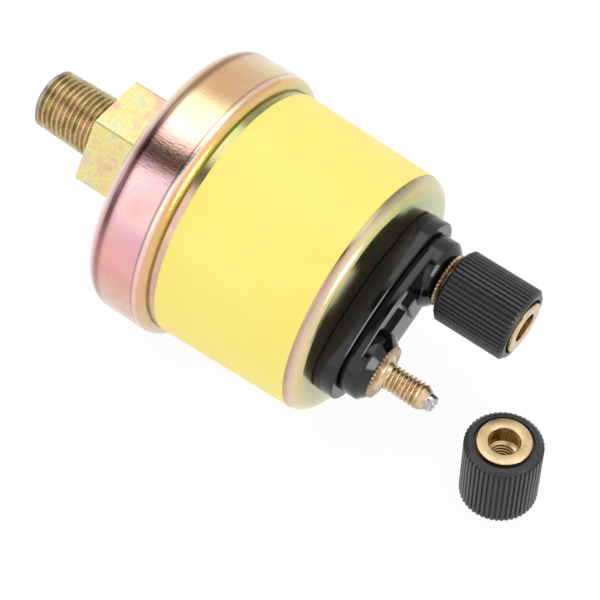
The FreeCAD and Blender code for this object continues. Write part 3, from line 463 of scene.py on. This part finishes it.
threadCut = {"start": stem["threadStart"] + stem["threadIn"], "end": 0.0,
             "startRadius": stem["tipRadius"], "endRadius": stem["footRadius"],
             "pitch": stem["pitch"], "depth": stem["depth"], "fadeIn": 0.6, "fadeOut": 0.9}
tip = roundCorners([
    (stem["boreEnd"], 0, 0), (stem["boreEnd"], stem["bore"], 0),
    (stem["threadStart"], stem["bore"], stem["boreFold"]),
    (stem["threadStart"], stem["endRadius"], stem["boreFold"]),
    (stem["threadStart"] + stem["chamfer"], stem["chamferRadius"], 0)])
neckStart = stem["length"] - stem["neckSunk"]
neck = [(neckStart, 0), (neckStart, stem["neck"]), (stem["neckEnd"], stem["neck"]), (stem["neckEnd"], 0)]
hexagonZinc = passivatedZinc("turnedSteelYellowPassivated", stem["hexagonLook"])
threadZinc = passivatedZinc("cutThreadPassivated", stem["threadLook"])
makePiece("stem_hexagon", join(skin(hexagonRows()), skin(evenRows(neck, stem["steps"]))), hexagonZinc,
          stands=["pressure_stem"], sharp=20)
makePiece("stem_thread", skin(evenRows(tip, stem["steps"]) + threadRows(threadCut, stem["steps"])),
          threadZinc, sharp=50)
print("stem")

# the cup's outside, its lip and a plain inside that nothing shows
cup = {
    "radius": 21.99, "front": 11.7, "shoulder": 2.4, "hole": 6.9, "wellStart": 12.6, "well": 12,
    "wellEnd": 21.5, "lip": 22.3, "lipRadius": 20.5, "lipFold": 1.6, "lipEdge": 0.15, "steps": 256,
    "look": {  # pressed: pale at the back, rose in front, with a gilt lip; the maroon line at its fold, the maroon streak round 97 degrees and the thin dark line before the lip are painted dark reflections, the pale front edge and the cream stripes on the lip are painted highlights
        "turn": [(-180, "#D6B5A8", 0.3), (-100, "#D8D2BC", 0.3), (-20, "#DDD8C0", 0.3),
                 (20, "#DED6B4", 0.45), (34, "#E2CC9E", 0.55), (46, "#EDBE94", 0.6), (60, "#EDBC8C", 0.6),
                 # 97 degrees: a painted dark reflection, a maroon streak along the side
                 (73, "#F1DEA8", 0.8), (81, "#EECDBC", 0.9), (88, "#E6B4B4", 1.0), (97, "#8E4860", 1.0),
                 (104, "#DDACB6", 1.0), (126, "#EBB8C2", 0.95), (142, "#F2A2B0", 0.65),
                 (158, "#DDA8A0", 0.45), (180, "#D6B5A8", 0.3)],
        # 11.6 to 12.8: a painted highlight; 13.35 to 14.6: a painted dark reflection; 20.45: a painted dark
        #               reflection, a thin line; 20.75 and 21.15: painted cream highlights
        "bands": [(11.6, "#F3EDE4", 0.8), (12.8, "#EFE3D8", 0.7), (13.35, "#A07472", 0.5),
                  (13.6, "#3E2026", 0.9), (14.2, "#3E2026", 0.9), (14.6, "#B08088", 0.5),
                  (15.2, "#D0A8A0", 0.0), (20.15, "#6B4640", 0.0), (20.45, "#684442", 0.75),
                  (20.75, "#F6EADB", 0.85), (21.15, "#F6E6D0", 0.85), (21.4, "#F2AE7E", 0.95),
                  (21.75, "#ECBE6C", 0.95), (22.1, "#D2C062", 0.95), (22.4, "#B5A654", 0.95)],
        "mottle": [(0.36, "#E8A29A"), (0.46, "#EFC79E"), (0.54, "#F2DE9C"), (0.64, "#E6D2CE")],
        "patch": 6.0, "share": 0.22, "roughness": 0.12, "scratch": 1.0, "pits": (0.4, 0.1, 0.02)}}
cupOutline = roundCorners([
    (cup["front"], cup["hole"], 0), (cup["front"], cup["radius"], cup["shoulder"]),
    (cup["lip"], cup["radius"], cup["lipFold"]), (cup["lip"], cup["lipRadius"], cup["lipEdge"]),
    (cup["wellEnd"], cup["lipRadius"], 0), (cup["wellEnd"], cup["well"], 0),
    (cup["wellStart"], cup["well"], 0), (cup["wellStart"], cup["hole"], 0)], steps=12)
cupZinc = passivatedZinc("pressedSteelYellowPassivated", cup["look"])
makePiece("crimped_cup", skin(evenRows(cupOutline, cup["steps"]), closed=True), cupZinc,
          stands=["base_cup"], sharp=40)
print("cup")

can = {
    "foot": 20.9, "footRadius": 20.38, "flangeIn": 15, "top": 47.75, "topRadius": 19.48, "edge": 1.9,
    "steps": 256,
    "look": {  # drawn: olive above and rose below, with a painted cream highlight on its rounded edge and green and gold rings on its end
        "turn": [(-180, "#D2BE9A", 0.8), (-100, "#D2CDB6", 0.5), (-20, "#CFD2B8", 0.4),
                 (22, "#BFC4A0", 0.6), (42, "#9EA36A", 0.75), (57, "#6F8650", 0.85), (72, "#93A068", 1.0),
                 (84, "#A8A472", 1.0), (94, "#B8A07C", 1.0), (106, "#C79F92", 1.0), (128, "#D9ADA6", 1.0),
                 (150, "#DAA79E", 1.0), (180, "#D2BE9A", 0.8)],
        "bands": [(21.0, "#D9C98A", 0.3), (23.6, "#D9C98A", 0.0), (46.3, "#B58A88", 0.0),
                  # 47.6 and 48.6: a painted highlight, cream, on the rounded edge
                  (46.9, "#A87C7E", 0.45), (47.6, "#E8CDB4", 0.55), (48.6, "#F4E6B4", 0.6),
                  (49.6, "#E6D88C", 0.65), (50.8, "#BCC07C", 0.75), (52.2, "#84A078", 0.75),
                  (53.4, "#C0A468", 0.75), (54.6, "#B8805C", 0.8), (57.0, "#807A4A", 0.9)],
        "mottle": [(0.36, "#E2AFA0"), (0.46, "#E8D48E"), (0.54, "#C4CC94"), (0.64, "#A8BCA0")],
        "rim": 20.4, "crown": (20.5, 11.0, 0.5),
        "patch": 5.0, "share": 0.25, "roughness": 0.18, "scratch": 0.4, "pits": (0.4, 0.1, 0.004)}}
canOutline = roundCorners([
    (can["foot"], can["flangeIn"], 0), (can["foot"], can["footRadius"], 0),
    (can["top"], can["topRadius"], can["edge"]), (can["top"], 0, 0)], steps=14)
canZinc = passivatedZinc("drawnSteelYellowPassivated", can["look"])
makePiece("drawn_can", skin(evenRows(canOutline, can["steps"])), canZinc, stands=["case_can"])
print("can")

# the film: where it starts along the can, its width there, how far it goes round and where its
# middle is, in degrees; it is sunk a little into the can
label = {"start": 23.5, "width": 22.3, "thick": 0.1, "sunk": 0.05, "turn": 344.0, "middle": -112.4,
         "steps": 320, "tint": ("#F7E571", "#F9E87A"), "roughness": 0.42, "cloud": 8.0}


# Coated film, left bare: satin yellow polyester, a little uneven where it was stuck on.
def bareFilm():
    material, tree = newMaterial("yellowPolyesterFilm")
    cloud = addNode(tree, "ShaderNodeTexNoise", {"Scale": 1 / label["cloud"], "Detail": 2.0},
                    {"Vector": senderPlace(tree)})
    colour = addNode(tree, "ShaderNodeValToRGB", {
        "stops": [(0.35, label["tint"][0]), (0.65, label["tint"][1])]}, {0: cloud.outputs["Fac"]})
    finishMaterial(tree, {"Roughness": label["roughness"], "IOR": 1.5}, {"Base Color": colour.outputs[0]},
                   (cloud.outputs["Fac"], 0.05, 0.05))
    return material


# a thin strip bent round the can's taper, open behind
def labelShape():
    steps = label["steps"]
    low, high = label["start"], label["start"] + label["width"]
    points, faces = [], []
    slope = (can["topRadius"] - can["footRadius"]) / (can["top"] - can["foot"])
    for step in range(steps + 1):
        angle = math.radians(label["middle"] + 180 + label["turn"] * (step / steps - 0.5))
        for along, lift in ((low, -label["sunk"]), (low, label["thick"]), (high, label["thick"]),
                            (high, -label["sunk"])):
            radius = can["footRadius"] + slope * (along - can["foot"]) + lift
            points.append((along, radius * math.cos(angle), radius * math.sin(angle)))
    for first in range(0, 4 * steps, 4):
        faces += [(first + c, first + (c + 1) % 4, first + 4 + (c + 1) % 4, first + 4 + c) for c in range(4)]
    faces += [(0, 1, 2, 3), (4 * steps + 3, 4 * steps + 2, 4 * steps + 1, 4 * steps)]
    return points, faces


makePiece("yellow_film", labelShape(), bareFilm(), stands=["label_band"])
print("film")

base = {"endRadius": 7.1, "halfWidth": 8.4, "spacing": 16.4, "foot": 48.05, "tier": 51.05, "groove": 51.4,
        "body": 52.7, "inset": 1.7, "grooveInset": 2.3, "capInsets": (3, 4), "footFold": 0.1,
        "bodyFold": 0.05, "edge": 0.16, "edgeFold": 0.03, "seat": 55.0, "boss": 5.42, "bossChamfer": 1.25,
        "bossFolds": (0.5, 0.3), "padTop": 53.55, "padHalf": 2.4, "padBevel": 0.22,
        "pads": [(-3.4, 0.5), (1.1, 3.4)], "steps": 128, "arcSteps": 40,
        "tint": ("#060606", "#0D0D0E"), "roughness": 0.11, "ripple": 3.0}


# where the boss or stud on one side stands, -1 for signal and 1 for earth
def sideAxis(side):
    return side * base["spacing"] / 2, 0


# outline points of the oblong: end arcs joined by flatter side arcs
def oblongOutline(inset):
    perArc = base["arcSteps"]
    half = base["spacing"] / 2 + base["endRadius"] - inset
    end, width = base["endRadius"] - inset, base["halfWidth"] - inset
    reach = half - end
    side = (reach ** 2 + width ** 2 - end ** 2) / (2 * (width - end))
    drop = side - width
    lean = math.atan2(reach, drop)
    outline = []
    for centre, radius, start, sweep in (
            ((0, -drop), side, math.pi / 2 - lean, 2 * lean),
            ((-reach, 0), end, math.pi / 2 + lean, math.pi - 2 * lean),
            ((0, drop), side, 1.5 * math.pi - lean, 2 * lean),
            ((reach, 0), end, lean - math.pi / 2, math.pi - 2 * lean)):
        for step in range(perArc):
            angle = start + sweep * step / perArc
            outline.append((centre[0] + radius * math.cos(angle), centre[1] + radius * math.sin(angle)))
    return outline


# a stack of oblong outlines (along, inset), capped at both ends
def oblongStack(levels):
    points, faces = [], []
    for along, inset in levels:
        points += [(along, across, up) for across, up in oblongOutline(inset)]
    count = len(points) // len(levels)
    for level in range(len(levels) - 1):
        low = level * count
        faces += [(low + s, low + (s + 1) % count, low + count + (s + 1) % count, low + count + s)
                  for s in range(count)]
    faces.append(tuple(range(count)))
    faces.append(tuple(range(len(points) - count, len(points))))
    return points, faces


# a round boss with a chamfered seat for its stud
def boss(side):
    lower, upper = base["bossFolds"]
    outline = roundCorners([
        (base["groove"], 0, 0), (base["groove"], base["boss"], 0),
        (base["seat"] - base["bossChamfer"], base["boss"], lower),
        (base["seat"], base["boss"] - base["bossChamfer"], upper), (base["seat"], 0, 0)])
    return skin(evenRows(outline, base["steps"]), about=sideAxis(side))


# a low bar between the bosses, its upper edges bevelled
def pad(low, high):
    half, bevel = base["padHalf"], base["padBevel"]
    points = []
    for along, inset in ((base["groove"], 0), (base["padTop"] - bevel, 0), (base["padTop"], bevel)):
        points += [(along, low + inset, inset - half), (along, high - inset, inset - half),
                   (along, high - inset, half - inset), (along, low + inset, half - inset)]
    faces = [(level + c, level + (c + 1) % 4, level + 4 + (c + 1) % 4, level + 4 + c)
             for level in (0, 4) for c in range(4)]
    return points, faces + [(0, 1, 2, 3), (8, 9, 10, 11)]


# the foot, the groove over it and the body, foot and body with a chamfered upper edge
lowerCap, upperCap = base["capInsets"]
footLevels = roundCorners([
    (base["foot"], lowerCap, 0), (base["foot"], 0, base["footFold"]),
    (base["tier"] - base["edge"], 0, base["edgeFold"]), (base["tier"], base["edge"], base["edgeFold"]),
    (base["tier"], base["grooveInset"], 0), (base["groove"], base["grooveInset"], 0),
    (base["groove"], base["inset"], base["bodyFold"]),
    (base["body"] - base["edge"], base["inset"], base["edgeFold"]),
    (base["body"], base["inset"] + base["edge"], base["edgeFold"]), (base["body"], upperCap, 0)])
pads = [pad(*ends) for ends in base["pads"]]
# phenolic from a polished mould: deep black gloss
basePlastic = mouldedPlastic("polishedMouldedPhenolic", base["tint"], base["roughness"], base["ripple"])
makePiece("moulded_base", join(oblongStack(footLevels), boss(-1), boss(1), *pads), basePlastic,
          stands=["terminal_base"], sharp=30)
print("terminal base")

# the bare signal stud (-1) flares out to its flange, the other does so little under its nut
stud = {"foot": 42.75, "shoulder": 47.05, "shoulderRadius": 2.3, "radius": 2.0, "pitch": 0.7, "depth": 0.43,
        "flange": 4.2, "thick": 0.35, "bevel": 0.1, "bevelRadius": 4.05, "teeth": 38, "tooth": 0.36,
        "out": 7.9, "tip": 1.05, "tipRadius": 1.4, "tipFold": 0.1, "flare": {-1: 2.9, 1: 2.05},
        "flareLow": 0.2, "flareOut": 0.1, "flareHigh": 0.9, "flareFold": 0.7, "overlap": 0.1,
        "solder": 1.3, "solderSunk": 0.2, "solderBend": 0.35, "solderEnd": 1.15, "solderHigh": 1.1,
        "solderFolds": (0.2, 0.25, 0.12, 0.1), "hollow": 0.45, "hollowMouth": 0.55, "hollowFoot": 0.4,
        "steps": 64, "perTooth": 8, "solderSteps": 48, "tint": ("#BEA07A", "#E9D6B4"), "roughness": 0.33,
        # the flanges' darker tint is painted shade
        "shadedFlangeTint": ("#A88C6E", "#CDB496"), "flangeRoughness": 0.4,
        "solderTint": ("#8C8C90", "#D8D8DA"), "solderRoughness": 0.14}


# a disc whose edge is cut into points: each row goes out to them or to its own limit
def toothedFlange(side):
    perTooth = stud["perTooth"]
    steps = stud["teeth"] * perTooth
    low, high = base["seat"], base["seat"] + stud["thick"]
    rows = []
    for along, limit in ((low, 0), (low, stud["flange"]), (high - stud["bevel"], stud["flange"]),
                         (high, stud["bevelRadius"]), (high, 0)):
        row = []
        for step in range(steps + 1):
            point = abs(step % perTooth / (perTooth / 2) - 1)
            row.append((along, min(limit, stud["flange"] - stud["tooth"] * (1 - point))))
        rows.append(row)
    return skin(rows, about=sideAxis(side))


# shank inside the base, flared neck on the flange, thread and bevelled tip
def studShape(side):
    seat = base["seat"] + stud["thick"]
    end = base["seat"] + stud["out"]
    cut = {"start": seat + stud["flareHigh"] - stud["overlap"], "end": end - stud["tip"],
           "startRadius": stud["radius"], "endRadius": stud["radius"], "pitch": stud["pitch"],
           "depth": stud["depth"], "fadeIn": 0.5, "fadeOut": 0.7}
    tip = roundCorners([(end - stud["tip"], stud["radius"], 0), (end, stud["tipRadius"], stud["tipFold"]),
                        (end, 0, 0)])
    neck = roundCorners([(seat - stud["overlap"], stud["flare"][side], 0), (seat, stud["flare"][side], 0),
                         (seat + stud["flareLow"], stud["radius"] + stud["flareOut"], stud["flareFold"]),
                         (seat + stud["flareHigh"], stud["radius"], 0)])
    shank = [(stud["foot"], 0), (stud["foot"], stud["radius"]), (stud["shoulder"], stud["radius"]),
             (stud["shoulder"], stud["shoulderRadius"]), (base["seat"], stud["shoulderRadius"])]
    steps = stud["steps"]
    rows = evenRows(shank + neck, steps) + threadRows(cut, steps) + evenRows(tip, steps)
    return skin(rows, about=sideAxis(side))


# tinned tip with the hollow that the solder left
def solderShape(side):
    foot = base["seat"] + stud["out"]
    top = foot + stud["solderHigh"]
    bend, rim, mouth, hollow = stud["solderFolds"]
    outline = roundCorners([
        (foot - stud["solderSunk"], 0, 0), (foot - stud["solderSunk"], stud["solder"], 0),
        (foot + stud["solderBend"], stud["solder"], bend), (top, stud["solderEnd"], rim),
        (top, stud["hollowMouth"], mouth),
        (top - stud["hollow"], stud["hollowFoot"], hollow), (top - stud["hollow"], 0, 0)])
    return skin(evenRows(outline, stud["solderSteps"]), about=sideAxis(side))


# turned brass, dulled by handling, with stamped flanges tinted darker and browner as painted shade, and
# bright grey tin solder
studBrass = bareMetal("turnedBrassStud", stud["tint"], stud["roughness"])
shadedFlangeBrass = bareMetal("stampedBrassFlangePaintedShade", stud["shadedFlangeTint"], stud["flangeRoughness"])
tinned = bareMetal("tinnedCopperSolder", stud["solderTint"], stud["solderRoughness"])
for side, name in ((-1, "signal"), (1, "earth")):
    makePiece(name + "_stud_turned", studShape(side), studBrass, stands=[name + "_stud"],
              sharp=45)
    makePiece(name + "_toothed_flange", toothedFlange(side), shadedFlangeBrass, sharp=30)
    makePiece(name + "_solder_tip", solderShape(side), tinned, stands=[name + "_lead_pin"])
print("studs")

nut = {"radius": 5.745, "length": 11.9, "chamfer": 0.55, "ribs": 48, "rib": 0.32, "recess": 0.5,
       "recessRadius": 4.45, "insert": 4.0, "clear": 0.02, "proud": 0.4, "bore": 2.05, "mouth": 2.3,
       "mouthDeep": 0.4, "step": 3.0, "root": 0.25, "looseCrest": 0.3, "gap": 0.35, "steps": 64,
       "topFold": 0.15, "footFold": 0.12, "mouthFold": 0.1,
       "edge": [(0, -0.05), (0.05, 0), (0.2, 0.17), (0.35, 0.34)],  # in from the end, out from the bevel
       "gripTint": ("#202022", "#29292B"), "gripRoughness": 0.32, "gripGrain": 0.4,
       "insertTint": ("#C4A67C", "#DCC6A0"), "insertRoughness": 0.22}


# a sleeve with ribs, its ends bevelled and recessed round the insert
def gripShape(foot, about):
    groove = [0, 0, 0, 0.05, 0.45, 0.95, 1, 0.95, 0.45, 0.05, 0, 0]  # shares of the depth, rib to rib
    steps = nut["ribs"] * len(groove)
    low, high = foot + nut["proud"], foot + nut["proud"] + nut["length"]
    bevel, inner = nut["radius"] - nut["chamfer"], nut["insert"] + nut["clear"]
    levels = [(low + nut["recess"], inner), (low + nut["recess"], nut["recessRadius"]),
              (low, nut["recessRadius"])]
    levels += [(low + inward, bevel + outward) for inward, outward in nut["edge"]]
    levels += [(low + nut["chamfer"], nut["radius"]), (high - nut["chamfer"], nut["radius"])]
    levels += [(high - inward, bevel + outward) for inward, outward in reversed(nut["edge"])]
    levels += [(high, nut["recessRadius"]), (high - nut["recess"], nut["recessRadius"]),
               (high - nut["recess"], inner)]
    ribbed = [nut["radius"] - nut["rib"] * groove[step % len(groove)] for step in range(steps + 1)]
    rows = [[(along, min(limit, radius)) for radius in ribbed] for along, limit in levels]
    return skin(rows, about=about, closed=True)


# a brass bush: its thread, then a wider mouth at the open end
def insertShape(foot, about, crest):
    top, root = foot + 2 * nut["proud"] + nut["length"], nut["bore"] + nut["root"]
    threadFoot = foot + nut["mouthDeep"]
    threads = {"start": threadFoot, "end": top - nut["step"], "startRadius": root, "endRadius": root,
               "pitch": stud["pitch"], "depth": root - crest, "fadeIn": 0.1, "fadeOut": 0.1}
    outer = roundCorners([
        (top - nut["step"], nut["mouth"], 0), (top, nut["mouth"], nut["topFold"]),
        (top, nut["insert"], nut["topFold"]), (foot, nut["insert"], nut["footFold"]),
        (foot, nut["mouth"], nut["mouthFold"]), (threadFoot, nut["mouth"], 0)])
    rows = threadRows(threads, nut["steps"]) + evenRows(outer, nut["steps"])
    return skin(rows, about=about, closed=True)


# ABS from a satin mould: soft dark grey
def gripPlastic(name, place):
    return mouldedPlastic(name, nut["gripTint"], nut["gripRoughness"], nut["gripGrain"], place)


# turned brass, fresh from the tool: pale gold
def insertBrass(name, place):
    return bareMetal(name, nut["insertTint"], nut["insertRoughness"], place)


# where each nut starts along its axis, and where that axis is
fitted = (base["seat"] + stud["thick"] + nut["gap"], sideAxis(1))
loose = (0, (0, 0))
makePiece("fitted_grip_knurled", gripShape(*fitted), gripPlastic("satinMouldedAbs", senderPlace),
          stands=["fitted_nut_grip"], body="nut_grip", sharp=30)
makePiece("fitted_insert_turned", insertShape(*fitted, nut["bore"]),
          insertBrass("turnedBrassInsert", senderPlace), stands=["fitted_nut_insert"],
          body="nut_bush", sharp=40)
makePiece("loose_grip_knurled", gripShape(*loose), gripPlastic("satinMouldedAbsLoose", nutPlace),
          stands=["loose_nut_grip"], space=nutSpace, sharp=30)
makePiece("loose_insert_turned", insertShape(*loose, nut["bore"] - nut["looseCrest"]),
          insertBrass("turnedBrassLooseInsert", nutPlace), stands=["loose_nut_insert"],
          space=nutSpace, sharp=40)
print("thumb nuts")


# Bare or thinly plated steel, rolled, drawn or turned: grey and even, without the yellow film.
def bareSteel(name, dark, light, patch, roughness):
    return passivatedZinc(name, {
        "turn": [(-180, light), (0, dark), (180, light)], "mottle": [(0.4, dark), (0.6, light)],
        "patch": patch, "share": 0.5, "roughness": roughness, "scratch": 0.15, "pits": (0.2, 0.0, 0.001)})


# the finish of the pieces that the can hides, by their slot in the record
hidden = {
    # satin grey rings and strip, a brighter disc and pin, darker spring wire, browner winding wire
    "stack_steel": bareSteel("platedSteelRings", "#9C9C99", "#B8B8B4", 4.0, 0.35),
    "disc_steel": bareSteel("rolledSpringSteel", "#A9A7A0", "#C9C7C0", 6.0, 0.25),
    "frame_steel": bareSteel("foldedSteelStrip", "#A0A09C", "#BCBCB8", 5.0, 0.35),
    "pin_steel": bareSteel("turnedSteelPin", "#A6A6A4", "#C4C4C2", 3.0, 0.25),
    "spring_steel": bareSteel("drawnSpringWire", "#8E8E8C", "#ADADAB", 2.0, 0.3),
    "winding_wire": bareSteel("bareResistanceWire", "#8C7E6E", "#B0A290", 1.0, 0.4),
    # matt black rubber, and board pressed from paper and resin: brown with a slight sheen
    "seal_rubber": mouldedPlastic("mouldedNitrileRubber", ("#0E0E0E", "#151515"), 0.6, 1.0),
    "insulator_plastic": mouldedPlastic("laminatedPaperBoard", ("#5B3420", "#6E4128"), 0.45, 0.6),
    # brass that nobody handles: yellower and cleaner than the studs
    "lever_brass": bareMetal("pressedBrassLever", ("#B8924C", "#CDAA66"), 0.3),
    "strip_brass": bareMetal("slitBrassStrip", ("#BD9854", "#D2B06C"), 0.3),
    "stud_brass": studBrass,
}
slots = {item["node"]: item["material_slot"] for item in frame["record"]["subparts"]}
for node, item in frame["nodes"].items():
    if slots[node] in hidden:
        item.data.materials.clear()
        item.data.materials.append(hidden[slots[node]])
print("inner pieces")
